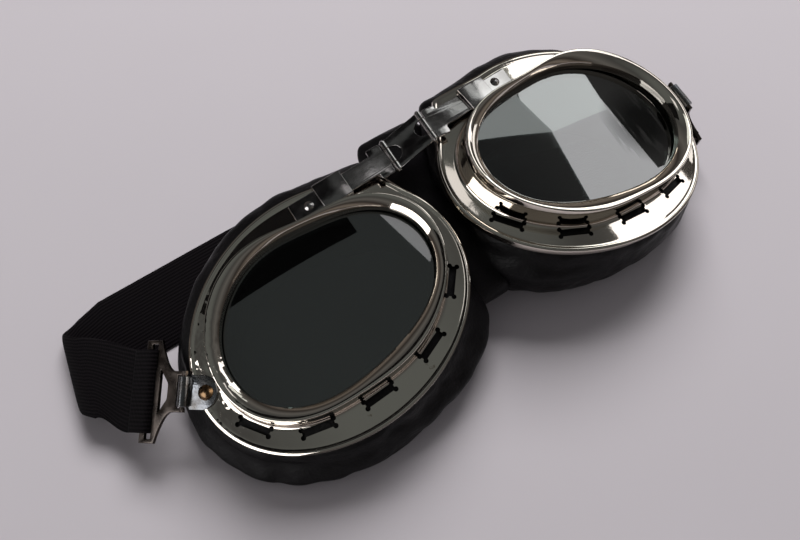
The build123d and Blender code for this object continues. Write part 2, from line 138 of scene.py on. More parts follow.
def dull(material, source, low, high, least, most):
    """Roughens the finish from least to most as the source goes from low to high."""
    join(remap(source, low, high, least, most), socket(material, "Roughness"))


def relief(material, source, depth):
    """Adds a bump of that depth to the finish, over any that it has."""
    bump = add_node(material, "Bump", Strength=1, Distance=depth)
    join(source, bump.inputs["Height"])
    under = socket(material, "Normal").links
    if under:
        join(under[0].from_socket, bump.inputs["Normal"])
    join(bump.outputs["Normal"], socket(material, "Normal"))


def piece_of(name, shape):
    mesh = bpy.data.meshes.new(name)
    shape.to_mesh(mesh)
    shape.free()
    return new_object(name, mesh)


table_finish = new_finish("table_paint", table_colour, 0, 0.85)
table_shade = [table_dim * part for part in table_colour]
tint(table_finish, mottle(table_finish, table_mottle), 0.3, 0.7, table_shade, table_colour)
round_top = bmesh.new()
bmesh.ops.create_circle(round_top, cap_ends=True, segments=table_sides, radius=table_radius)
table = piece_of("table", round_top)
coat(table, table_finish)

# Light
# Soft daylight from the far right, in a dim warm room. The window's panes, which show in the
# lenses and the chrome, stand a metre off as bright sheets that only reflections see, and so
# does the dark beam across the ceiling.

daylight = new_object("daylight", bpy.data.lights.new("daylight", "AREA"))
daylight.data.shape = "RECTANGLE"
daylight.data.size = 0.9
daylight.data.size_y = 0.7
daylight.data.energy = 20
daylight.data.color = (1.0, 0.99, 1.0)
daylight.location = (0.55, 0.75, 1.05)
daylight.rotation_euler = (-daylight.location).to_track_quat("-Z", "Y").to_euler()
daylight.visible_glossy = False
pale = (1.0, 0.99, 1.0)


def window_pane(name, strength, colour, corners):
    """A sheet through those corners, in metres, that glows and is seen in reflections alone."""
    mesh = bpy.data.meshes.new(name)
    mesh.from_pydata(corners, [], [range(len(corners))])
    pane = new_object(name, mesh)
    coat(pane, new_finish(name, (0, 0, 0), 0, 1, Emission_Color=(*colour, 1), Emission_Strength=strength))
    pane.visible_camera = False
    pane.visible_diffuse = False
    pane.visible_shadow = False


window_pane("pane_high", 2.3, (0.97, 1.0, 0.99), [
    (0.679, 0.144, 0.804), (0.652, 0.210, 0.814), (0.70, 0.42, 0.70), (0.92, 0.40, 0.52),
    (0.91, 0.25, 0.56), (0.81, 0.22, 0.69), (0.814, 0.144, 0.70)])
window_pane("pane_low", 1.75, (1.0, 0.985, 1.0), [
    (0.695, 0.17, 0.823), (0.815, 0.17, 0.70), (0.832, 0.03, 0.682), (0.94, 0.03, 0.53),
    (0.94, -0.08, 0.52), (0.675, -0.05, 0.85)])
window_pane("dark_beam", 0, pale, [
    (-0.42, 0.15, 0.93), (0.10, 0.148, 1.01), (0.07, 0.42, 0.90), (-0.42, 0.42, 0.80)])
window_pane("pane_dim", 0.95, (0.95, 1.0, 0.98), [
    (0.49, 0.186, 0.903), (0.50, 0.42, 0.84), (0.63, 0.44, 0.78), (0.652, 0.210, 0.814),
    (0.679, 0.144, 0.804)])
window_pane("pane_side", 1.2, pale, [
    (0.92, 0.30, 0.42), (0.97, 0.24, 0.22), (0.97, -0.25, 0.22), (0.92, -0.20, 0.42)])
window_pane("pane_overhead", 0.9, pale, [
    (0.173, 0.161, 1.007), (0.24, 0.22, 0.99), (0.33, 0.12, 0.96), (0.221, 0.053, 1.004)])
window_pane("pane_left", 3.0, pale, [
    (-0.74, 0.22, 0.10), (-0.74, -0.62, 0.10), (-0.50, -0.46, 0.70), (-0.56, 0.14, 0.70)])

wall_tones = ((0.45, (0.02, 0.017, 0.016)), (0.60, (0.16, 0.14, 0.125)), (0.72, (0.03, 0.026, 0.024)),
              (0.84, (0.11, 0.108, 0.105)), (0.93, (0.055, 0.056, 0.056)), (0.99, (0.105, 0.113, 0.110)))
room_fill = (0.17, 0.165, 0.17)
room = bpy.data.worlds.new("room")
scene.world = room
room.use_nodes = True
wall_shade = add_node(room, "ValToRGB")
for _ in wall_tones[2:]:
    wall_shade.color_ramp.elements.new(0.5)
for mark, (position, tone) in zip(wall_shade.color_ramp.elements, wall_tones):
    mark.position = position
    mark.color = (*tone, 1)
room_way = add_node(room, "SeparateXYZ")
join(add_node(room, "TexCoord").outputs["Generated"], room_way.inputs[0])
join(remap(room_way.outputs["Z"], -1, 1, 0, 1), wall_shade.inputs["Fac"])
seen = add_node(room, "LightPath")
mirrored, backdrop = (add_node(room, "Mix") for _ in range(2))
for blend, ray in ((mirrored, "Is Glossy Ray"), (backdrop, "Is Camera Ray")):
    blend.data_type = "RGBA"
    join(seen.outputs[ray], blend.inputs["Factor"])
mirrored.inputs["A"].default_value = (*room_fill, 1)
join(wall_shade.outputs["Color"], mirrored.inputs["B"])
join(mirrored.outputs["Result"], backdrop.inputs["A"])
backdrop.inputs["B"].default_value = (*table_colour, 1)
join(backdrop.outputs["Result"], room.node_tree.nodes["Background"].inputs["Color"])

# Chromed frames
# Each eye has a frame pressed from thin sheet and chrome plated: a flange with a rolled
# lip, a raised collar that holds the lens, and a row of vent slots punched round the nose and chin.

lay_pitch = 9.9
lay_splay = 5.75
pair_middle = (11.2056 * mm, -6.6209 * mm, 30 * mm)
eye_shift = (45.85 * mm, 3.03 * mm, 2.21 * mm)

frame_half_length = 45.3 * mm
frame_half_height = 36.1 * mm
frame_lean = 13.0
frame_shift = 0.8 * mm
frame_bend = 240 * mm
frame_sheet = 1.0 * mm
slot_lip = 0.5 * mm
lip_drop = 1.3 * mm
lip_round = 0.5 * mm
lip_bead = 0.25 * mm
nose_corner = ((-38.3 * mm, 21.0 * mm), (-31.0 * mm, 35.2 * mm), (0, 36.2 * mm))

opening_mean = 27.9 * mm
opening_wave_shares = ((0.027, 0.040), (0.190, -0.055), (-0.020, 0.004), (0.010, -0.020))
collar_mean = 28.1 * mm
collar_wave_shares = ((0.034, 0.016), (0.20, -0.045), (-0.018, 0.021), (-0.006, -0.033))
collar_bend = 500 * mm
collar_crest = 8.7 * mm
ledge_top = 4.6 * mm
ledge_thick = 0.8 * mm
crest_offset = 3.9 * mm
foot_offset = 4.1 * mm
foot_round = 0.9 * mm
throat_round = 0.25 * mm
throat_rise_share = 0.40
mouth_shares = (0.02, 0.08, 0.18, 0.3, 0.44, 0.58, 0.72, 0.86, 1.0)
crest_round = 0.3 * mm
wall_shares = (0.3, 0.6, 0.85)
flange_shares = (0.12, 0.25, 0.4, 0.55, 0.7, 0.82)
bead_shares = ((-0.6, 0.1), (-0.25, 0.6), (0.1, 1.0), (0.5, 0.8), (0.85, 0.1))
edge_round = 0.2 * mm
seat_offset = 1.6 * mm

slot_length = 12.5 * mm
slot_width = 2.2 * mm
slot_lobe = 1.5 * mm
slot_offset = 5.95 * mm
slot_turns = (198.0, 233.0, 274.0, 308.0, 335.0)
slot_cut = (-8 * mm, 2 * mm)
frame_steps = 240

sides = (("left", -1), ("right", 1))


def shift(x, y, z=0.0):
    return Matrix.Translation((x, y, z))


on_table = shift(*pair_middle) @ Matrix.Rotation(radians(lay_pitch), 4, "X")


def eye_place(hand):
    centre = [hand * part for part in eye_shift]
    return on_table @ shift(*centre) @ Matrix.Rotation(radians(hand * lay_splay), 4, "Y")


def eye_spot(hand, angle, out, height=0.0):
    """A spot in one eye's own axes, at that angle and that far out from its middle."""
    return hand * out * cos(angle), out * sin(angle), height


def ring(steps):
    return [2 * pi * step / steps for step in range(steps)]


def wavy_radius(mean, wave_shares, angle):
    swing = 1
    for turns, (cos_share, sin_share) in enumerate(wave_shares, start=1):
        swing += cos_share * cos(turns * angle) + sin_share * sin(turns * angle)
    return mean * swing


def opening_radius(angle):
    return wavy_radius(opening_mean, opening_wave_shares, angle)


def collar_radius(angle):
    return wavy_radius(collar_mean, collar_wave_shares, angle)


def edge_crossing(angle, start, end):
    along = (end[0] - start[0], end[1] - start[1])
    ahead = (cos(angle), sin(angle))
    across = ahead[0] * along[1] - ahead[1] * along[0]
    reach = (start[0] * along[1] - start[1] * along[0]) / across
    share = (start[0] * ahead[1] - start[1] * ahead[0]) / across
    return reach if reach > 0 and 0 <= share <= 1 else 0


def sharp_frame_radius(angle):
    turn = radians(-frame_lean)
    u, v = cos(angle - turn), sin(angle - turn)
    shift_u, shift_v = frame_shift * cos(turn), -frame_shift * sin(turn)
    a = (u / frame_half_length) ** 2 + (v / frame_half_height) ** 2
    b = u * shift_u / frame_half_length ** 2 + v * shift_v / frame_half_height ** 2
    c = (shift_u / frame_half_length) ** 2 + (shift_v / frame_half_height) ** 2 - 1
    reach = (b + (b * b - a * c) ** 0.5) / a
    for start, end in zip(nose_corner, nose_corner[1:]):
        reach = max(reach, edge_crossing(angle, start, end))
    return reach


def frame_radius(angle):
    step = radians(1.0)
    return sum(sharp_frame_radius(angle + step * turn) for turn in (-1, 0, 1)) / 3


def bend_level(bend, u):
    return (bend * bend - u * u) ** 0.5 - bend


def frame_section(angle):
    """Distance out and height of each point round the frame's section at one angle."""
    throat = opening_radius(angle)
    top = collar_radius(angle) + crest_offset
    foot = collar_radius(angle) + foot_offset
    rim = frame_radius(angle)

    def crest(out):
        return collar_crest + bend_level(collar_bend, out * cos(angle))

    def sheet(out):
        return bend_level(frame_bend, out * cos(angle))

    def along_sheet(start, end, shares, drop=0.0):
        outs = [start + (end - start) * share for share in shares]
        return [(out, sheet(out) - drop) for out in outs]

    points = [(throat, ledge_top - ledge_thick), (throat, ledge_top - throat_round),
              (throat + 0.3 * throat_round, ledge_top)]
    roll = top - crest_round
    rise = crest(roll) - ledge_top
    for share in mouth_shares:
        swell = throat_rise_share * min(1, share / mouth_shares[1])
        swell += (1 - throat_rise_share) * share * (2 - share)
        points.append((throat + (roll - throat) * share, ledge_top + rise * swell))
    points += [(top - 0.4 * crest_round, crest(top) - 0.2 * crest_round), (top, crest(top) - crest_round)]
    fall = sheet(foot) + foot_round - crest(top)
    points += [(top + (foot - top) * share, crest(top) + fall * share) for share in wall_shares]
    for step in range(5):
        turn = pi / 2 * step / 4
        out = foot + foot_round * (1 - cos(turn))
        points.append((out, sheet(out) + foot_round * (1 - sin(turn))))
    start, bead = foot + foot_round, rim - 2 * lip_round
    points += along_sheet(start, bead, flange_shares)
    for share, rise in bead_shares:
        out = bead + 2 * lip_round * share
        points.append((out, sheet(out) + lip_bead * rise))
    under = sheet(rim) - frame_sheet - lip_drop
    points += [(rim, sheet(rim) - lip_round), (rim, under + edge_round), (rim - edge_round, under)]
    inside = rim - slot_lip
    points += [(inside + edge_round, under), (inside, under + edge_round), (inside, sheet(rim) - slot_lip)]
    points += along_sheet(inside, throat + seat_offset, (0.3, 0.6, 1.0), slot_lip)
    return points + [(throat + seat_offset, ledge_top - ledge_thick)]


def skin(name, loops, wrap=False, caps=False):
    """A mesh through closed loops of equally many points, each joined to the next."""
    shape = bmesh.new()
    rows = [[shape.verts.new(point) for point in loop] for loop in loops]
    pairs = list(zip(rows, rows[1:])) + ([(rows[-1], rows[0])] if wrap else [])
    for near, far in pairs:
        for step in range(len(near)):
            after = (step + 1) % len(near)
            shape.faces.new((near[step], near[after], far[after], far[step]))
    if caps:
        shape.faces.new(reversed(rows[0]))
        shape.faces.new(rows[-1])
    bmesh.ops.recalc_face_normals(shape, faces=shape.faces)
    return piece_of(name, shape)


def worked(piece):
    """The piece as its curve settings or modifiers leave it."""
    bpy.context.view_layer.update()
    return piece.evaluated_get(bpy.context.evaluated_depsgraph_get())


def fix_shape(piece):
    """Works the piece's modifiers into its mesh."""
    mesh = bpy.data.meshes.new_from_object(worked(piece))
    piece.modifiers.clear()
    piece.data = mesh


def fit(piece, finish, slot, nodes, bodies, ends=(), sharp_from=40):
    """The piece's smooth shade and finish, and the CAD nodes that it stands for, which it hides. It is
    attached to the body that it rides on; a piece given two bodies and its ends is left where it lies."""
    piece.data.shade_smooth()
    piece.data.set_sharp_from_angle(angle=radians(sharp_from))
    coat(piece, finish)
    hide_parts(*nodes)
    if ends:
        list(bodies)
        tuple(ends[0])
        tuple(ends[1])
        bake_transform(piece)
    else:
        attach(piece, *bodies)


def near_spot(material, centre, near, far):
    """One within that distance of a spot, falling to zero at the far distance."""
    gap = add_node(material, "VectorMath")
    gap.operation = "DISTANCE"
    join(add_node(material, "TexCoord").outputs["Object"], gap.inputs[0])
    gap.inputs[1].default_value = centre
    return remap(gap.outputs["Value"], near, far, 1, 0)


def product(first, second):
    times = add_node(first.id_data, "Math")
    times.operation = "MULTIPLY"
    join(first, times.inputs[0])
    join(second, times.inputs[1])
    return times.outputs[0]


plated = (0.78, 0.72, 0.64)
tarnished = (0.36, 0.27, 0.19)
dented_spot = (-80 * mm, -2 * mm, 24 * mm)
dented_near = 8 * mm
dented_far = 24 * mm
dent_size = 5 * mm
chrome = new_finish("chrome_plate", plated, 1, 0.06)
dull(chrome, mottle(chrome, 9 * mm, 6), 0.35, 0.75, 0.03, 0.10)
tint(chrome, mottle(chrome, 2.2 * mm, 5), 0.70, 0.80, plated, tarnished)
relief(chrome, mottle(chrome, 18 * mm, 1), 0.30 * mm)
dents = product(mottle(chrome, dent_size, 2), near_spot(chrome, dented_spot, dented_near, dented_far))
relief(chrome, dents, 0.5 * mm)
relief(chrome, mottle(chrome, 2.5 * mm, 2), 0.012 * mm)


def slot_outline(hand, turn):
    """One vent slot with a round lobe at each of its four corners."""
    angle = radians(turn)
    step = radians(5)
    ahead, behind = collar_radius(angle + step), collar_radius(angle - step)
    run_u = ahead * cos(angle + step) - behind * cos(angle - step)
    run_v = ahead * sin(angle + step) - behind * sin(angle - step)
    along = Vector((hand * run_u, run_v, 0)).normalized()
    across = Vector((-along.y, along.x, 0))
    centre = Vector(eye_spot(hand, angle, collar_radius(angle) + slot_offset))
    half = slot_length / 2 - slot_lobe
    points = []
    for end, side, first in ((1, 1, -90), (-1, 1, 0), (-1, -1, 90), (1, -1, 180)):
        lobe = centre + along * (half * end) + across * (side * slot_width / 2)
        for step in range(13):
            swing = radians(first + step * 270 / 12)
            points.append(lobe + (along * cos(swing) + across * sin(swing)) * (slot_lobe / 2))
    return points


def cut_away(piece, cutters):
    for cutter in cutters:
        cut = piece.modifiers.new("cut", "BOOLEAN")
        cut.operation = "DIFFERENCE"
        cut.object = cutter
    fix_shape(piece)
    for cutter in cutters:
        bpy.data.objects.remove(cutter)


for side, hand in sides:
    sections = [(angle, frame_section(angle)) for angle in ring(frame_steps)]
    rows = range(len(sections[0][1]))
    loops = [[eye_spot(hand, angle, *section[row]) for angle, section in sections] for row in rows]
    chromed_frame = skin(side + "_chromed_frame", loops, wrap=True)
    slots = []
    for turn in slot_turns:
        outline = slot_outline(hand, turn)
        cut_ends = [[point + Vector((0, 0, level)) for point in outline] for level in slot_cut]
        slots.append(skin("slot", cut_ends, caps=True))
    cut_away(chromed_frame, slots)
    chromed_frame.data.transform(eye_place(hand))
    fit(chromed_frame, chrome, "chrome", [side + "_frame"], [side + "_eyepiece"], sharp_from=38)

# Smoke lenses
# Each lens is a curved sheet of smoke-grey plastic that sits under the collar's ledge,
# polished, with a few wipe marks. A black rubber seal presses it up from below.

lens_offset = 1.5 * mm
lens_thick = 2.0 * mm
lens_rings = 14
scuff_size = 5 * mm
scuff_turn = -35.0
scuff_stretch = (1.6, 0.18, 1)
scuffed_spot = (81 * mm, -9 * mm, 34 * mm)
scuffed_near = 5 * mm
scuffed_far = 15 * mm

smoke = new_finish("smoke_lens", (0.10, 0.125, 0.12), 0, 0.02, Transmission_Weight=1, IOR=1.5,
                   Specular_IOR_Level=0, Coat_Weight=1, Coat_IOR=2.2, Coat_Roughness=0.012)
scuffs = add_node(smoke, "TexNoise", Scale=1 / scuff_size, Detail=5)
scuff_draw = add_node(smoke, "Mapping", Rotation=(0, 0, radians(scuff_turn)), Scale=scuff_stretch)
join(add_node(smoke, "TexCoord").outputs["Object"], scuff_draw.inputs["Vector"])
join(scuff_draw.outputs["Vector"], scuffs.inputs["Vector"])
scuffed = product(remap(scuffs.outputs["Fac"], 0.40, 0.46, 0.0, 1),
                  near_spot(smoke, scuffed_spot, scuffed_near, scuffed_far))
join(remap(scuffed, 0, 1, 1, 0.05), socket(smoke, "Coat Weight"))
dull(smoke, mottle(smoke, 14 * mm, 6), 0.4, 0.8, 0.0, 0.09)
tint(smoke, mottle(smoke, 45 * mm, 2), 0.3, 0.7, (0.065, 0.09, 0.086), (0.098, 0.127, 0.122))

seal_rubber = new_finish("seal_rubber", (0.015, 0.015, 0.015), 0, 0.7)
relief(seal_rubber, mottle(seal_rubber, 0.8 * mm), 0.05 * mm)

for side, hand in sides:
    shares = [(step + 1) / lens_rings for step in range(lens_rings)]
    loops = []
    for under, from_rim in ((0, shares), (1, reversed(shares))):
        level = ledge_top - ledge_thick - under * lens_thick
        for share in from_rim:
            loop = []
            for angle in ring(frame_steps):
                out = (opening_radius(angle) + lens_offset) * share
                height = level + bend_level(collar_bend - under * lens_thick, out * cos(angle))
                loop.append(eye_spot(hand, angle, out, height))
            loops.append(loop)
    lens = skin(side + "_smoke_lens", loops, caps=True)
    lens.data.transform(eye_place(hand))
    fit(lens, smoke, "smoke_lens", [side + "_lens"], [side + "_eyepiece"], sharp_from=50)
    coat(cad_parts[side + "_lens_seal"], seal_rubber)

# Hinge plates, guide loops, pins and link
# A stamped T-shaped plate is riveted to the brow of each frame, passes under a bent guide loop
# and ends in a rolled knuckle. A notched link joins the two plates on steel pins over the nose.

plate_thick = 0.8 * mm
plate_seat = 0.4 * mm
plate_shank = 6.4 * mm
plate_head_wide = 10.5 * mm
plate_head_long = 4.6 * mm
plate_round = 0.7 * mm
plate_tail = (4.6 * mm, 30.6 * mm)
plate_stud = (0.8 * mm, 1.5 * mm, 0.7 * mm)
plate_rivet_spot = (10.1 * mm, 30.5 * mm)
hinge_u = 39.5 * mm
hinge_v = {-1: 31.4 * mm, 1: 26.8 * mm}
pin_radius = 0.6 * mm
knuckle_radius = 1.1 * mm
knuckle_wide = 5.0 * mm
pin_overhang = 0.5 * mm
side_play = 0.15 * mm
link_notch = 2.5 * mm
link_room = 0.25 * mm
loop_u = 18.6 * mm
loop_long = 9.6 * mm
loop_wide = 8.8 * mm
loop_high = 2.1 * mm
loop_play = 0.1 * mm
loop_round = 0.55 * mm
loop_edge = 0.05 * mm
stamped_edge = 0.16 * mm

steel = new_finish("plated_steel", (0.56, 0.56, 0.57), 1, 0.16)
dull(steel, mottle(steel, 3 * mm, 6), 0.3, 0.7, 0.10, 0.20)
tint(steel, mottle(steel, 6 * mm, 4), 0.35, 0.7, (0.27, 0.255, 0.25), (0.44, 0.425, 0.42))
relief(steel, mottle(steel, 1.6 * mm, 3), 0.02 * mm)


def rounded(points, radius, steps=4):
    """The outline with each corner rounded, by less where an edge is short."""
    made = []
    for index, corner in enumerate(points):
        corner = Vector(corner)
        before = Vector(points[index - 1]) - corner
        after = Vector(points[(index + 1) % len(points)]) - corner
        room = min(radius, 0.45 * before.length, 0.45 * after.length)
        start = corner + before.normalized() * room
        end = corner + after.normalized() * room
        for step in range(steps + 1):
            share = step / steps
            made.append(start * (1 - share) ** 2 + corner * (2 * share * (1 - share)) + end * share ** 2)
    return made


def stamped_plate(name, outlines, thick, edge=stamped_edge):
    """A flat plate of that thickness round z = 0, its first outline the rim and the rest holes."""
    line = bpy.data.curves.new(name, "CURVE")
    line.dimensions = "2D"
    line.fill_mode = "BOTH"
    line.extrude = thick / 2 - edge
    line.bevel_depth = edge
    line.offset = -edge
    line.bevel_resolution = 2
    for outline in outlines:
        run = line.splines.new("POLY")
        run.points.add(len(outline) - 1)
        for point, place in zip(run.points, outline):
            point.co = (place[0], place[1], 0, 1)
        run.use_cyclic_u = True
    drawn = new_object(name, line)
    shape = bmesh.new()
    shape.from_mesh(bpy.data.meshes.new_from_object(worked(drawn)))
    bpy.data.objects.remove(drawn)
    bmesh.ops.remove_doubles(shape, verts=shape.verts, dist=1e-3 * mm)
    return piece_of(name, shape)


def turned(name, profile, steps=32):
    """A turned piece round z through (radius, height) points, closed at both ends."""
    return skin(name, [[eye_spot(1, angle, *point) for angle in ring(steps)] for point in profile], caps=True)


def rod(name, radius, long, edge):
    half = long / 2
    profile = [(radius - edge, -half), (radius, edge - half), (radius, half - edge), (radius - edge, half)]
    return turned(name, profile)


def weld(name, *parts):
    """Parts that are one piece of metal, as one object."""
    shape = bmesh.new()
    for part in parts:
        part.data.transform(part.matrix_world)
        shape.from_mesh(part.data)
        bpy.data.objects.remove(part)
    return piece_of(name, shape)


def put(piece, place):
    piece.data.transform(place)
    return piece


def rivet(name, shank, head, dome, under, seat):
    """A domed rivet that reaches that far under the sheet, with its head on the seat."""
    ball = (head ** 2 + dome ** 2) / (2 * dome)
    points = [(shank * 0.9, -under), (shank, 0.1 * mm - under), (shank, seat), (head * 0.97, seat)]
    points.append((head, seat + 0.12 * mm))
    for step in range(1, 8):
        turn = 1 - step / 8
        out = head * turn
        points.append((out, seat + dome - ball + (ball ** 2 - out ** 2) ** 0.5))
    return turned(name, points + [(0.02 * mm, seat + dome)])


hinge_level = plate_seat + plate_thick / 2
head_u = hinge_u - knuckle_radius - link_room
along_v = Matrix.Rotation(pi / 2, 4, "X")

for side, hand in sides:
    eye = eye_place(hand)
    head_v = hinge_v[hand]
    half = plate_shank / 2
    neck_u = head_u - plate_head_long
    wing = plate_head_wide / 2
    tail_u, tail_v = plate_tail
    slope = (head_v - tail_v) / (head_u - tail_u)
    neck_v = tail_v + slope * (neck_u - tail_u)
    edges = [[(tail_u, tail_v + end * half), (neck_u, neck_v + end * half), (neck_u, head_v + end * wing),
              (head_u, head_v + end * wing), (head_u, head_v + end * knuckle_wide / 2),
              (hinge_u, head_v + end * knuckle_wide / 2)] for end in (-1, 1)]
    outline = [(-hand * u, v) for u, v in edges[0] + edges[1][::-1]]
    tee = put(stamped_plate("tee", [rounded(outline, plate_round)], plate_thick),
              shift(0, 0, hinge_level))
    hinge_line = shift(-hand * hinge_u, head_v, hinge_level) @ along_v
    knuckle = put(rod("knuckle", knuckle_radius, knuckle_wide, 0.12 * mm), hinge_line)
    hinge_plate = put(weld(side + "_tee_plate", tee, knuckle), eye)
    fit(hinge_plate, steel, "bright_steel", [side + "_hinge_plate"], [side + "_eyepiece"])

    stud = rivet(side + "_plate_stud", *plate_stud, frame_sheet - plate_seat, plate_seat + plate_thick)
    put(stud, eye @ shift(-hand * plate_rivet_spot[0], plate_rivet_spot[1]))
    fit(stud, steel, "bright_steel", [side + "_plate_rivet"], [side + "_eyepiece"])

    pin = rod(side + "_steel_pin", pin_radius, plate_head_wide + 2 * pin_overhang, 0.15 * mm)
    fit(put(pin, eye @ hinge_line), steel, "bright_steel", [side + "_hinge_pin"], [side + "_eyepiece"])

    inner = plate_shank / 2 + loop_play
    outer = loop_wide / 2
    roof = plate_thick + loop_play
    arch = [(-outer, 0), (-outer, loop_high), (outer, loop_high), (outer, 0), (inner, 0), (inner, roof),
            (-inner, roof), (-inner, 0)]
    arch = rounded(arch[:1], 0) + rounded(arch, loop_round)[5:15] + rounded(arch, loop_edge)[15:]
    strap_guide = stamped_plate(side + "_guide_arch", [arch], loop_long, 0.14 * mm)
    lean = atan2(slope, -hand)
    foot = shift(-hand * loop_u, tail_v + slope * (loop_u - tail_u), plate_seat)
    stand = Matrix(((0, 0, 1, 0), (1, 0, 0, 0), (0, 1, 0, 0), (0, 0, 0, 1)))
    put(strap_guide, eye @ foot @ Matrix.Rotation(lean, 4, "Z") @ stand)
    fit(strap_guide, steel, "bright_steel", [side + "_guide_loop"], [side + "_eyepiece"])

splay = radians(lay_splay)
pin_x = eye_shift[0] - hinge_u * cos(splay) + hinge_level * sin(splay)
pin_z = hinge_u * sin(splay) + hinge_level * cos(splay)
left_y = hinge_v[-1] - eye_shift[1]
right_y = hinge_v[1] + eye_shift[1]
span = hypot(2 * pin_x, 2 * eye_shift[2])
half = plate_head_wide / 2
bite = knuckle_wide / 2 + side_play
deep = knuckle_radius + link_room


def notch(x, y, facing):
    """The link's edge round one knuckle: a slot for it and a half-round beyond."""
    swing = [radians(85 - step * 170 / 12) for step in range(13)]
    arc = [(x + facing * (deep + link_notch * cos(turn)), y + link_notch * sin(turn)) for turn in swing]
    reach = [(x, y + half), (x, y + bite), (x + facing * deep, y + bite)]
    back = [(x + facing * deep, y - bite), (x, y - bite), (x, y - half)]
    return reach + arc + back


edge_line = notch(0, left_y, 1)[::-1] + notch(span, right_y, -1)
bar = stamped_plate("bar", [edge_line[::-1]], plate_thick, 0.1 * mm)
tabs = []
for x, y in ((0, left_y), (span, right_y)):
    for end in (-1, 1):
        tab = rod("tab", knuckle_radius, half - bite, 0.1 * mm)
        tabs.append(put(tab, shift(x, y + end * (bite + (half - bite) / 2)) @ along_v))
link = weld("notched_link", bar, *tabs)
link_lean = atan2(2 * eye_shift[2], 2 * pin_x)
put(link, on_table @ shift(-pin_x, 0, pin_z - eye_shift[2]) @ Matrix.Rotation(-link_lean, 4, "Y"))
fit(link, steel, "bright_steel", ["bridge_link"], ["bridge_link"])

# Swivel clips
# A short steel strip turns on a domed rivet at the temple of each frame. Its outer end is
# rolled into a tube that carries the buckle's pin. The left rivet is brass, the right one plated.

clip_u = 42.6 * mm
clip_v = -1.0 * mm
clip_wide = 9.8 * mm
clip_thick = 0.8 * mm
clip_play = 0.1 * mm
clip_nose = 3.4 * mm
clip_cheek = 2.4 * mm
clip_reach = 6.3 * mm
clip_neck = 4.7 * mm
clip_roll_wide = 8.6 * mm
clip_roll_bore = 0.85 * mm
clip_round = 0.8 * mm
clip_turns = {-1: 35.0, 1: 0.0}
clip_stud = (1.1 * mm, 2.2 * mm, 1.1 * mm)
roll_radius = clip_roll_bore + clip_thick

clip_steel = new_finish("clip_steel", (0.52, 0.53, 0.55), 1, 0.2)
clip_wear = mottle(clip_steel, 4 * mm, 6)
dull(clip_steel, clip_wear, 0.3, 0.7, 0.10, 0.30)
tint(clip_steel, clip_wear, 0.4, 0.75, (0.21, 0.22, 0.235), (0.13, 0.12, 0.11))
relief(clip_steel, mottle(clip_steel, 2.2 * mm, 2), 0.06 * mm)

brass = new_finish("rivet_brass", (0.42, 0.27, 0.12), 1, 0.22)
brass_wear = mottle(brass, 1.5 * mm, 5)
tint(brass, brass_wear, 0.4, 0.7, (0.10, 0.06, 0.035), (0.30, 0.19, 0.10))
dull(brass, brass_wear, 0.3, 0.7, 0.15, 0.35)


def clip_rivet_place(hand):
    lean = atan2(clip_u, frame_bend)
    spot = shift(hand * clip_u, clip_v, bend_level(frame_bend, clip_u))
    return eye_place(hand) @ spot @ Matrix.Rotation(hand * lean, 4, "Y")


def clip_place(hand):
    facing = clip_turns[hand] if hand > 0 else 180 - clip_turns[hand]
    return clip_rivet_place(hand) @ Matrix.Rotation(radians(facing), 4, "Z")


for side, hand in sides:
    half = clip_wide / 2
    upper = [(-clip_nose, clip_nose - clip_cheek), (-clip_cheek, clip_cheek + 0.9 * mm), (0, half),
             (clip_neck, half), (clip_neck, clip_roll_wide / 2), (clip_reach, clip_roll_wide / 2)]
    outline = upper + [(u, -v) for u, v in reversed(upper)]
    strip = put(stamped_plate("strip", [rounded(outline, clip_round)], clip_thick),
                shift(0, 0, clip_play + clip_thick / 2))
    roll = put(rod("roll", roll_radius, clip_roll_wide, 0.15 * mm),
               shift(clip_reach, 0, clip_play + roll_radius) @ along_v)
    swivel_clip = put(weld(side + "_swivel_clip", strip, roll), clip_place(hand))
    fit(swivel_clip, clip_steel, "clip_steel", [side + "_clip"], [side + "_clip"])

    stud = rivet(side + "_clip_stud", *clip_stud, frame_sheet, 2 * clip_play + clip_thick)
    put(stud, clip_rivet_place(hand))
    rivet_finish, rivet_slot = (brass, "rivet_brass") if hand < 0 else (steel, "bright_steel")
    fit(stud, rivet_finish, rivet_slot, [side + "_clip_rivet"], [side + "_eyepiece"])

# Buckles
# Each buckle is stamped from bronze-plated sheet: a narrow end whose two arms carry the pin
# through the clip's roll, swept shoulders, a window, and a bar that the strap is sewn round.

buckle_thick = 1.2 * mm
buckle_pin = 0.75 * mm
arm_gap = 9.2 * mm
buckle_narrow = 11.6 * mm
buckle_wide = 29.4 * mm
roll_room = 0.35 * mm
shoulder = 4.4 * mm
flare = 9.0 * mm
bar_spot = 13.4 * mm
bar_wide = 2.0 * mm
bar_slot = 2.2 * mm
bar_slot_long = 27.0 * mm
window_near = 5.4 * mm
window_far = 8.4 * mm
window_near_wide = 4.4 * mm
window_far_wide = 12.5 * mm
buckle_drops = {-1: 18.0, 1: 60.0}

bronze = new_finish("bronze_plate", (0.24, 0.20, 0.17), 1, 0.28)
bronze_wear = mottle(bronze, 5 * mm, 6)
tint(bronze, bronze_wear, 0.35, 0.75, (0.06, 0.052, 0.047), (0.15, 0.125, 0.11))
dull(bronze, bronze_wear, 0.3, 0.7, 0.20, 0.40)
relief(bronze, mottle(bronze, 1.2 * mm, 3), 0.02 * mm)


def buckle_place(hand):
    pin_spot = shift(clip_reach, 0, clip_play + roll_radius)
    return clip_place(hand) @ pin_spot @ Matrix.Rotation(radians(buckle_drops[hand]), 4, "Y")


def four_sided(near, far, near_wide, far_wide):
    return [(near, -near_wide / 2), (far, -far_wide / 2), (far, far_wide / 2), (near, near_wide / 2)]


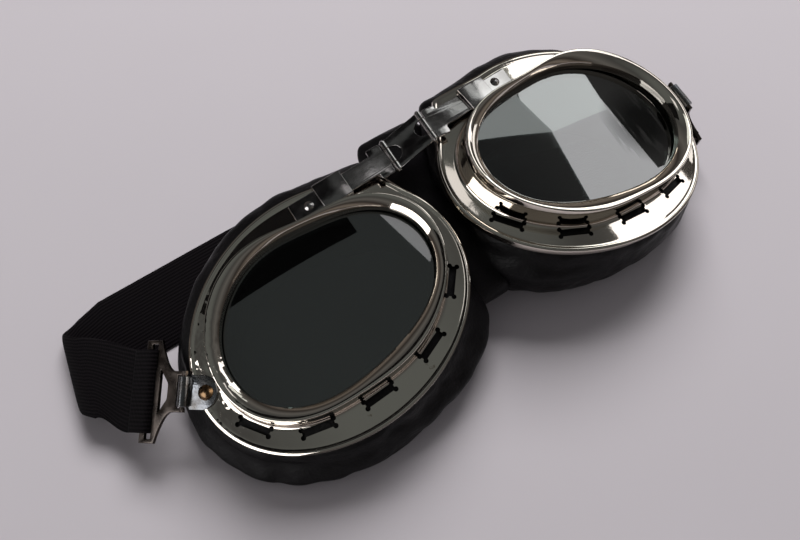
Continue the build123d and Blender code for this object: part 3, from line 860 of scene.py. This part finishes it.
for side, hand in sides:
    roll_gap = roll_radius + roll_room
    narrow, wide = buckle_narrow / 2, buckle_wide / 2
    upper = [(roll_gap, arm_gap / 2), (-buckle_pin, arm_gap / 2), (-buckle_pin, narrow)]
    sweep = []
    for step in range(9):
        share = step / 8
        rise = share ** 2.2
        sweep.append((shoulder * 0.7 + (flare - shoulder * 0.7) * share, narrow + (wide - narrow) * rise))
    upper += sweep + [(bar_spot + bar_wide / 2, wide)]
    outline = upper + [(u, -v) for u, v in reversed(upper)]
    bar_edge = bar_spot - bar_wide / 2
    slot_hole = four_sided(bar_edge - bar_slot, bar_edge, bar_slot_long, bar_slot_long)
    window_hole = four_sided(window_near, window_far, window_near_wide, window_far_wide)
    plate = stamped_plate("plate", [outline, rounded(slot_hole, 0.3 * mm), rounded(window_hole, 0.4 * mm)],
                          buckle_thick, 0.22 * mm)
    cross_pin = put(rod("cross_pin", buckle_pin, buckle_narrow, 0.2 * mm), along_v)
    stamped_buckle = put(weld(side + "_stamped_buckle", plate, cross_pin), buckle_place(hand))
    fit(stamped_buckle, bronze, "dark_bronze", [side + "_buckle"], [side + "_buckle"])

# Elastic strap
# One band of ribbed black elastic, sewn round the left buckle's bar, folded back under itself on
# the table, running under both cups and up to the right buckle. Its ribs run lengthwise.

strap_wide = 28.0 * mm
strap_thick = 1.6 * mm
strap_gathered = 23.8 * mm
strap_tail = 18.4 * mm
wrap_play = 0.1 * mm
curl = 4.0 * mm
curl_spot = (-116.4 * mm, 26.8 * mm)
curl_shift = 10.2 * mm
curl_yaw = 10.0
run_start = (-104.0 * mm, 39.3 * mm)
sway_start = (-55.0 * mm, 41.0 * mm)
run_end = (92.0 * mm, 1.5 * mm)
middle_half = 16.0 * mm
strap_slack = 0.55
rib_pitch = 1.15 * mm
pick_pitch = 0.55 * mm
across_steps = 20

elastic = new_finish("ribbed_elastic", (0.010, 0.009, 0.010), 0, 0.82, Sheen_Weight=0.01,
                     Sheen_Roughness=0.5, Specular_IOR_Level=0.06)
weave = add_node(elastic, "Attribute")
weave.attribute_name = "weave"
weave_axes = add_node(elastic, "SeparateXYZ")
join(weave.outputs["Vector"], weave_axes.inputs[0])


def ridges(source, pitch):
    turns, wave = (add_node(source.id_data, "Math") for _ in range(2))
    turns.operation = "MULTIPLY"
    turns.inputs[1].default_value = 2 * pi / pitch
    wave.operation = "SINE"
    join(source, turns.inputs[0])
    join(turns.outputs[0], wave.inputs[0])
    return wave.outputs[0]


ribs = ridges(weave_axes.outputs["X"], rib_pitch)
# The colour follows the ribs: a painted highlight on the rib tops and painted shade in the grooves between
# them.
tint(elastic, remap(ribs, -1, 1, 0, 1), 0.1, 0.9, (0.0025, 0.002, 0.0025), (0.008, 0.0065, 0.0075))
relief(elastic, ribs, 0.06 * mm)
relief(elastic, ridges(weave_axes.outputs["Y"], pick_pitch), 0.03 * mm)


def lay_weave(band, places):
    """Tells each point of the band how far across and along the weave it lies."""
    spots = band.data.attributes.new("weave", "FLOAT_VECTOR", "POINT")
    for value, place in zip(spots.data, places):
        value.vector = place


def ribbon(name, stations, thick=strap_thick):
    """A band with soft edges through stations of centre, way along, way across and width."""
    loops, weave_spots, far = [], [], 0
    for index, (centre, along, across, wide) in enumerate(stations):
        if index:
            far += (centre - stations[index - 1][0]).length
        side = across.normalized()
        face = (along - side * along.dot(side)).normalized().cross(side)
        loop = []
        for step in range(2 * across_steps):
            place = step if step <= across_steps else 2 * across_steps - step
            share = cos(pi * place / across_steps)
            rise = thick / 2 * (1 - abs(share) ** 8) ** 0.5 * (1 if step < across_steps else -1)
            rise = rise if 0 < step < 2 * across_steps and step != across_steps else 0
            loop.append(centre + side * (wide / 2 * share) + face * rise)
            weave_spots.append((wide / 2 * share, far, rise))
        loops.append(loop)
    band = skin(name, loops, caps=True)
    lay_weave(band, weave_spots)
    return band


def bend_stations(start, along, end, heading, across, far_across, wide, far_wide, steps=24):
    """Stations along a smooth curve that leaves the start one way and meets the end another."""
    pull = strap_slack * (end - start).length
    stations = []
    for step in range(steps + 1):
        t = step / steps
        place = start * (2 * t ** 3 - 3 * t ** 2 + 1) + along * (pull * (t ** 3 - 2 * t ** 2 + t))
        place = place + end * (3 * t ** 2 - 2 * t ** 3) + heading * (pull * (t ** 3 - t ** 2))
        slope = (end - start) * (6 * (t - t ** 2)) + along * (pull * (3 * t ** 2 - 4 * t + 1))
        slope = slope + heading * (pull * (3 * t ** 2 - 2 * t))
        level = (1 - t) ** 2 * (1 + 2 * t)
        place.z = max(place.z, strap_thick / 2)
        side = across * level + far_across * (1 - level)
        stations.append((place, slope, side, wide + (far_wide - wide) * t))
    return stations


def run_y(x):
    if x < sway_start[0]:
        share = (x - run_start[0]) / (sway_start[0] - run_start[0])
        return run_start[1] + (sway_start[1] - run_start[1]) * share
    share = (x - sway_start[0]) / (run_end[0] - sway_start[0])
    return run_end[1] + (sway_start[1] - run_end[1]) * (1 + cos(pi * share)) / 2


def run_station(x):
    step = 4.5 * mm
    rise = run_y(x + step) - run_y(x - step)
    if x <= run_start[0] or x >= run_end[0]:
        rise = 0
    centre = Vector((x + pair_middle[0], run_y(x) + pair_middle[1], strap_thick / 2))
    return centre, Vector((2 * step, rise, 0)), Vector((-rise, 2 * step, 0)), strap_wide


def run_stations(start, end, steps=24):
    return [run_station(start + (end - start) * step / steps) for step in range(steps + 1)]


def strap_start(hand):
    place = buckle_place(hand)
    turn = place.to_3x3()
    return place @ Vector((strap_tail, 0, 0)), turn @ Vector((1, 0, 0)), turn @ Vector((0, 1, 0))


def left_front_stations():
    tail, along, across = strap_start(-1)
    yaw = radians(curl_yaw)
    heading = Vector((-cos(yaw), sin(yaw), 0))
    fold = Vector((sin(yaw), cos(yaw), 0))
    base = Vector((curl_spot[0] + pair_middle[0], curl_spot[1] + pair_middle[1], strap_thick / 2 + curl))
    up = Vector((0, 0, curl))
    stations = bend_stations(tail, along, base + up, heading, -across, fold, strap_gathered, strap_wide)
    for step in range(1, 13):
        share = step / 12
        place = base + heading * (curl * sin(pi * share)) + up * cos(pi * share) + fold * (curl_shift * share)
        slope = heading * cos(pi * share) - Vector((0, 0, sin(pi * share)))
        stations.append((place, slope, fold, strap_wide))
    return stations + [run_station(run_start[0])]


def right_front_stations():
    tail, along, across = strap_start(1)
    end, _, far_across, _ = run_station(run_end[0])
    return bend_stations(tail, along, end, Vector((-1, 0, 0)), across, far_across, strap_gathered, strap_wide)


def fit_band(name, stations, nodes, *bodies):
    """A band of the strap, which rides on one body, or is left where it lies between two."""
    ends = (stations[0][0], stations[-1][0]) if len(bodies) == 2 else ()
    fit(ribbon(name, stations), elastic, "elastic", nodes, bodies, ends, sharp_from=60)


def sewn_loop(side, hand):
    """The strap's end, wrapped round the buckle's bar and doubled back to the stitches."""
    inner_long = bar_wide + 2 * wrap_play
    inner_high = buckle_thick + 2 * wrap_play
    x0, x1 = bar_spot - inner_long / 2 - strap_thick, bar_spot + inner_long / 2
    z = inner_high / 2 + strap_thick
    outer = [(x0, -z), (x1, -z), (strap_tail, -strap_thick), (strap_tail, strap_thick), (x1, z), (x0, z)]
    hole = rounded(four_sided(x0 + strap_thick, x1, inner_high, inner_high), 0.4 * mm)
    outlines = [rounded(outer, 1.5 * mm), hole]
    loop = put(stamped_plate(side + "_sewn_loop", outlines, strap_gathered, 0.35 * mm), along_v)
    lay_weave(loop, [(vertex.co.y, vertex.co.x + vertex.co.z, 0) for vertex in loop.data.vertices])
    return put(loop, buckle_place(hand))


for side, hand in sides:
    fit(sewn_loop(side, hand), elastic, "elastic", [side + "_strap_loop"], [side + "_buckle"])

half_way = 13
left_front = left_front_stations()
fit_band("left_front_upper", left_front[:half_way + 1], ["left_strap_front"], "left_buckle", "left_clip")
fit_band("left_front_lower", left_front[half_way:],
         ["left_strap_front", "left_strap_fold", "left_strap_lower"], "left_clip", "left_eyepiece")
fit_band("left_run", run_stations(run_start[0], -middle_half), ["left_strap_run"], "left_eyepiece")
fit_band("left_middle_run", run_stations(-middle_half, 0, 12), ["strap_middle"],
         "left_eyepiece", "bridge_link")
fit_band("right_middle_run", run_stations(0, middle_half, 12), ["strap_middle"],
         "bridge_link", "right_eyepiece")
fit_band("right_run", run_stations(middle_half, run_end[0]), ["right_strap_run"], "right_eyepiece")
right_front = right_front_stations()
fit_band("right_front_upper", right_front[:half_way + 1], ["right_strap_front"], "right_buckle", "right_clip")
fit_band("right_front_lower", right_front[half_way:], ["right_strap_front"], "right_clip", "right_eyepiece")

# Padded cups
# Each frame is backed by a deep cup of padded artificial leather that swells out past the
# chrome and stands on the table. The skin puckers at the nose and along the chin.

cup_neck_inset = 1.5 * mm
cup_lip = 1.8 * mm
cup_shoulder = 5.5 * mm
cup_belly = 12.5 * mm
cup_waist = 18.0 * mm
cup_foot = 29.0 * mm
foot_bulge = 2.0 * mm
side_roll = 1.0 * mm
brow_roll = 4.0 * mm
belly_bulge = 4.6 * mm
temple_belly = 2.4 * mm
cup_fullness = {1: 0.35, -1: 1.0}
nose_belly = 3.4 * mm
temple_turn = -40.0
nose_turn = -142.0
nose_gap = 2.4 * mm
nose_lean_share = 0.12
nose_round = 2.5 * mm
ruck_rise = 0.6 * mm
ruck_size = 7.0 * mm
ruck_apart = 9
hollow_inset = 1.0 * mm
cup_steps = 168
cup_outer_rows = 18
cup_inner_rows = 7
cup_hem = 3.0 * mm
cup_turn_in = 1.2 * mm
cup_most = 1.3 * mm
stuffing_pressure = 1.2
skin_slack = 0.012
puff_frames = 20

leather = new_finish("cup_leather", (0.012, 0.011, 0.012), 0, 0.42, Specular_IOR_Level=0.14)
tint(leather, mottle(leather, 18 * mm, 4), 0.3, 0.7, (0.0022, 0.002, 0.0022), (0.0052, 0.0046, 0.0054))
dull(leather, mottle(leather, 10 * mm, 5), 0.3, 0.7, 0.34, 0.52)
relief(leather, mottle(leather, 6 * mm, 3), 0.4 * mm)
relief(leather, pattern(leather, "Voronoi", 0.9 * mm).outputs["Distance"], 0.06 * mm)


def oval_radius(angle):
    turn = angle + radians(frame_lean)
    across = hypot(frame_half_height * cos(turn), frame_half_length * sin(turn))
    return frame_half_length * frame_half_height / across


def ease(share):
    return (1 - cos(pi * max(0, min(1, share)))) / 2


def cup_bulge(hand, angle, depth):
    """How far the skin stands out past the flange's oval at that depth below the sheet."""
    roll = side_roll + brow_roll * max(0, sin(angle))
    belly = cup_fullness[hand] * (belly_bulge + temple_belly * max(0, cos(angle - radians(temple_turn))) ** 2)
    belly += nose_belly * max(0, cos(angle - radians(nose_turn))) ** 6
    if depth < cup_shoulder:
        share = max(0, depth - cup_lip) / (cup_shoulder - cup_lip)
        return -cup_neck_inset + (roll + cup_neck_inset) * sin(share * pi / 2)
    if depth < cup_waist:
        return roll + (belly - roll) * ease((depth - cup_shoulder) / (cup_belly - cup_shoulder))
    return belly + (foot_bulge - belly) * ease((depth - cup_waist) / (cup_foot - cup_waist))


def cup_spot(hand, angle, depth):
    """The skin's place across the eye at that angle and depth, kept clear of the other cup."""
    oval = oval_radius(angle)
    brow = ease(sin(angle) * 2)
    radius = oval + (frame_radius(angle) - oval) * brow + cup_bulge(hand, angle, depth)
    across = (hand * ruck_apart + radius * cos(angle) / ruck_size, radius * sin(angle) / ruck_size)
    ruck = noise.noise((*across, depth / ruck_size))
    radius += ruck_rise * ruck * max(0, min(1, (depth - cup_lip) / cup_lip))
    u, v = frame_shift + radius * cos(angle), radius * sin(angle)
    least = nose_gap + nose_lean_share * max(0, depth) - eye_shift[0]
    return hand * (u + least + hypot(u - least, nose_round)) / 2, v


def table_depth(place, across):
    """How far below that spot of an eyepiece the table lies, along the eyepiece's own axis."""
    top = place @ Vector((across[0], across[1], 0))
    down = place.to_3x3() @ Vector((0, 0, -1))
    return top.z / -down.z


def cup_loops(hand):
    place = eye_place(hand)
    start = frame_sheet + 0.2 * mm
    columns = []
    for angle in ring(cup_steps):
        sheet = -bend_level(frame_bend, oval_radius(angle) * cos(angle))
        column = []
        for row in range(cup_outer_rows + 1):
            share = (row / cup_outer_rows) ** 1.25
            depth = start
            for _ in range(4):
                spot = cup_spot(hand, angle, depth)
                deep = table_depth(place, spot) - sheet
                depth = start + (deep - start) * share
            squeeze = max(0, 1 - (deep - depth) / cup_hem)
            drawn = 1 - cup_hem * 0.8 * (1 - (1 - squeeze ** 2) ** 0.5) / hypot(*spot)
            column.append((spot[0] * drawn, spot[1] * drawn, -sheet - depth))
        hollow = opening_radius(angle) - hollow_inset
        top = bend_level(frame_bend, hollow * cos(angle)) - start
        deep = table_depth(place, eye_spot(hand, angle, hollow))
        for row in range(cup_inner_rows + 1):
            share = row / cup_inner_rows
            out = hollow + cup_turn_in * (1 - min(1, share * 4)) ** 2
            column.append(eye_spot(hand, angle, out, -deep + (deep + top) * share))
        columns.append(column)
    return [[place @ Vector(column[row]) for column in columns] for row in range(len(columns[0]))]


def puff(piece, most, free):
    """Blows the skin up as stuffing does, each point as free as said, and none further than most."""
    rest = [vertex.co.copy() for vertex in piece.data.vertices]
    held = piece.vertex_groups.new(name="held")
    for index, share in enumerate(free):
        held.add([index], 1 - share, "REPLACE")
    cloth = piece.modifiers.new("cloth", "CLOTH")
    settings = cloth.settings
    settings.vertex_group_mass = "held"
    settings.pin_stiffness = 5
    settings.use_pressure = True
    settings.uniform_pressure_force = stuffing_pressure
    settings.shrink_min = -skin_slack
    settings.tension_stiffness = 8
    settings.bending_stiffness = 0.05
    settings.effector_weights.gravity = 0
    cloth.point_cache.frame_end = puff_frames
    for step in range(1, puff_frames + 1):
        scene.frame_set(step)
    stuffed = piece.evaluated_get(bpy.context.evaluated_depsgraph_get())
    blown = [vertex.co.copy() for vertex in stuffed.data.vertices]
    piece.modifiers.clear()
    scene.frame_set(1)
    for vertex, before, after in zip(piece.data.vertices, rest, blown):
        move = after - before
        if move.length > most:
            move = move.normalized() * most
        place = before + move
        place.z = max(place.z, min(before.z, 0.1 * mm))
        vertex.co = place


for side, hand in sides:
    loops = cup_loops(hand)
    padded_cup = skin(side + "_padded_cup", loops, wrap=True)
    free = []
    for row in range(len(loops)):
        share = min(1, (row - 1) / 3, (cup_outer_rows - row) / 2)
        free += [share if 2 <= row < cup_outer_rows else 0] * cup_steps
    puff(padded_cup, cup_most, free)
    rounder = padded_cup.modifiers.new("rounder", "SUBSURF")
    rounder.levels = 1
    rounder.render_levels = 1
    fix_shape(padded_cup)
    fit(padded_cup, leather, "cup_leather", [side + "_cup"], [side + "_eyepiece"], sharp_from=80)

# Face foam
# A ring of soft open foam lines the foot of each cup, where the goggles meet the face. It is
# glued to the inside of the skin.

foam_wide = 4.6 * mm
foam_high = 11.0 * mm
foam_section_steps = 12

foam = new_finish("face_foam", (0.020, 0.020, 0.022), 0, 0.95)
foam_cells = pattern(foam, "Voronoi", 0.7 * mm).outputs["Distance"]
tint(foam, foam_cells, 0.1, 0.6, (0.030, 0.030, 0.032), (0.012, 0.012, 0.013))
relief(foam, foam_cells, 0.15 * mm)

for side, hand in sides:
    place = eye_place(hand)
    loops = []
    for turn in ring(foam_section_steps):
        height = foam_high * (0.5 + 0.48 * max(-1, min(1, 1.3 * sin(turn))))
        loop = []
        for angle in ring(cup_steps):
            out = opening_radius(angle) - hollow_inset + foam_wide / 2 * (0.95 + cos(turn))
            across = eye_spot(hand, angle, out)[:2]
            loop.append(place @ Vector((*across, height - table_depth(place, across))))
        loops.append(loop)
    foam_ring = skin(side + "_foam_ring", loops, wrap=True)
    fit(foam_ring, foam, "face_foam", [side + "_face_foam"], [side + "_eyepiece"], sharp_from=80)

# Soft bridge
# A padded saddle of the same leather joins the cups over the nose and puffs out at the brow.
# Each half of it is sewn to one eyepiece.

bridge_chin_half = 9.0 * mm
bridge_brow_half = 14.0 * mm
bridge_half_thick = 4.4 * mm
bridge_drop = 9.2 * mm
bridge_chin_drop = 5.0 * mm
bridge_chin = 23.0 * mm
bridge_brow = 41.3 * mm
bridge_steps = 72
bridge_turns = 28
bridge_ruck = 0.9 * mm
bridge_ruck_size = (6 * mm, 7 * mm)
bridge_bend = 9.0 * mm


def bridge_loops(toward):
    """The half of the saddle on that side of the nose, its flat face on the middle."""
    loops = []
    for step in range(bridge_steps + 1):
        share = -cos(pi * step / bridge_steps)
        reach = (bridge_brow if share > 0 else bridge_chin) * share
        wide = bridge_chin_half + (bridge_brow_half - bridge_chin_half) * ease((share + 1) / 2)
        fullness = (1 - abs(share) ** 6) ** 0.5 * 0.9 + 0.1
        sunk = bridge_chin_drop * max(0, -share) ** 2
        loop = []
        for turn in range(bridge_turns + 1):
            angle = pi * turn / bridge_turns
            x = toward * wide * (0.55 + 0.45 * fullness) * sin(angle) ** 0.8
            ruck = noise.noise((x / bridge_ruck_size[0], reach / bridge_ruck_size[1], 0))
            ruck = bridge_ruck * fullness * ruck
            z = bridge_half_thick * fullness * cos(angle) + ruck - bridge_drop - sunk
            loop.append((x, reach, z))
        loops.append([on_table @ Vector(point) for point in loop])
    return loops


middle = on_table @ Vector((0, 0, -bridge_drop))
for toward, side, bodies in ((-1, "left", ("left_eyepiece", "bridge_link")),
                             (1, "right", ("bridge_link", "right_eyepiece"))):
    saddle = skin(side + "_saddle", bridge_loops(toward), caps=True)
    outer = on_table @ Vector((toward * bridge_bend, 0, -bridge_drop))
    ends = (outer, middle) if toward < 0 else (middle, outer)
    fit(saddle, leather, "cup_leather", [side + "_soft_bridge"], bodies, ends, sharp_from=60)
